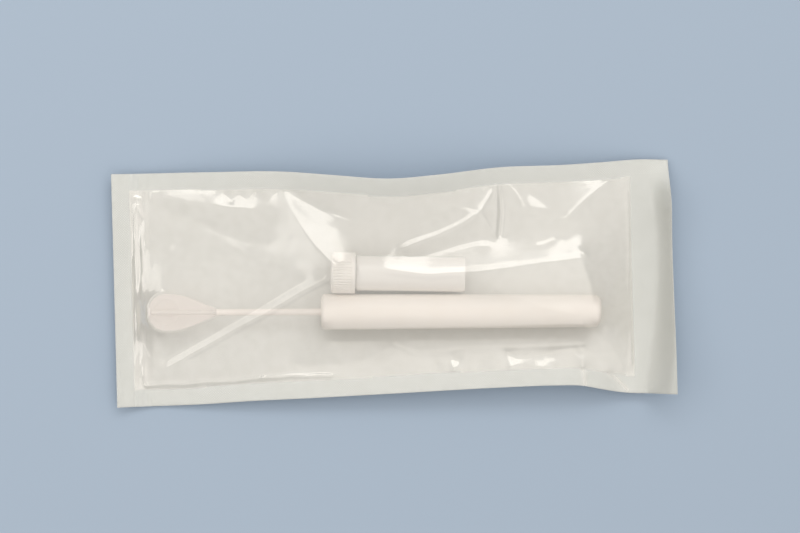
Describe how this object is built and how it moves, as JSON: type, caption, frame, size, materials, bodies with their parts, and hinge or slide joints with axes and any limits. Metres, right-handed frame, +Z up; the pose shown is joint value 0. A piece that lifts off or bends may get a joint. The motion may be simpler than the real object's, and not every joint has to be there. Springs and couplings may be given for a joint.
{
  "type": "pouched specimen swab set",
  "caption": "Sealed clear-front peel pouch holding a handled sampling wand with a dished leaf tip and a screw-capped specimen tube.",
  "frame": {"origin": "middle of the pouch on the surface that it lies on", "axes": "+X along the pouch from the leaf end to the peel tab, +Y across it from the wand to the tube, +Z up through the clear film"},
  "size_m": [0.2442, 0.103, 0.0211],
  "materials": {
    "backing": "matt white medical web",
    "film": "clear peelable film, creased, glossy",
    "handle": "moulded warm white, satin",
    "plug": "moulded warm white, satin",
    "stem": "translucent natural plastic",
    "leaf": "thin translucent natural plastic",
    "tube": "natural translucent moulding",
    "cap": "moulded, ribbed grip",
    "disc": "soft grey sealing disc"
  },
  "bodies": {
    "root": {"backing_web": "backing", "film_web": "film", "handle": "handle", "handle_plug": "plug", "stem": "stem", "leaf": "leaf", "specimen_tube": "tube"},
    "cap_rider": {"seal_disc": "disc"},
    "cap": {"tube_cap": "cap"}
  },
  "joints": [
    {"name": "cap_rise", "type": "slide", "parent": "root", "child": "cap_rider", "axis": [-0.9986, 0.0404, 0.0335], "range_m": [0, 0.0061]},
    {"name": "cap_turn", "type": "hinge", "parent": "cap_rider", "child": "cap", "pos_m": [-0.02067, 0.00503, 0.00962], "axis": [-0.9986, 0.0404, 0.0335], "range_deg": [0, 720]}
  ],
  "couplings": [
    {"joint": "cap_rise", "follows": "cap_turn", "m_per_rad": 0.00047746}
  ]
}
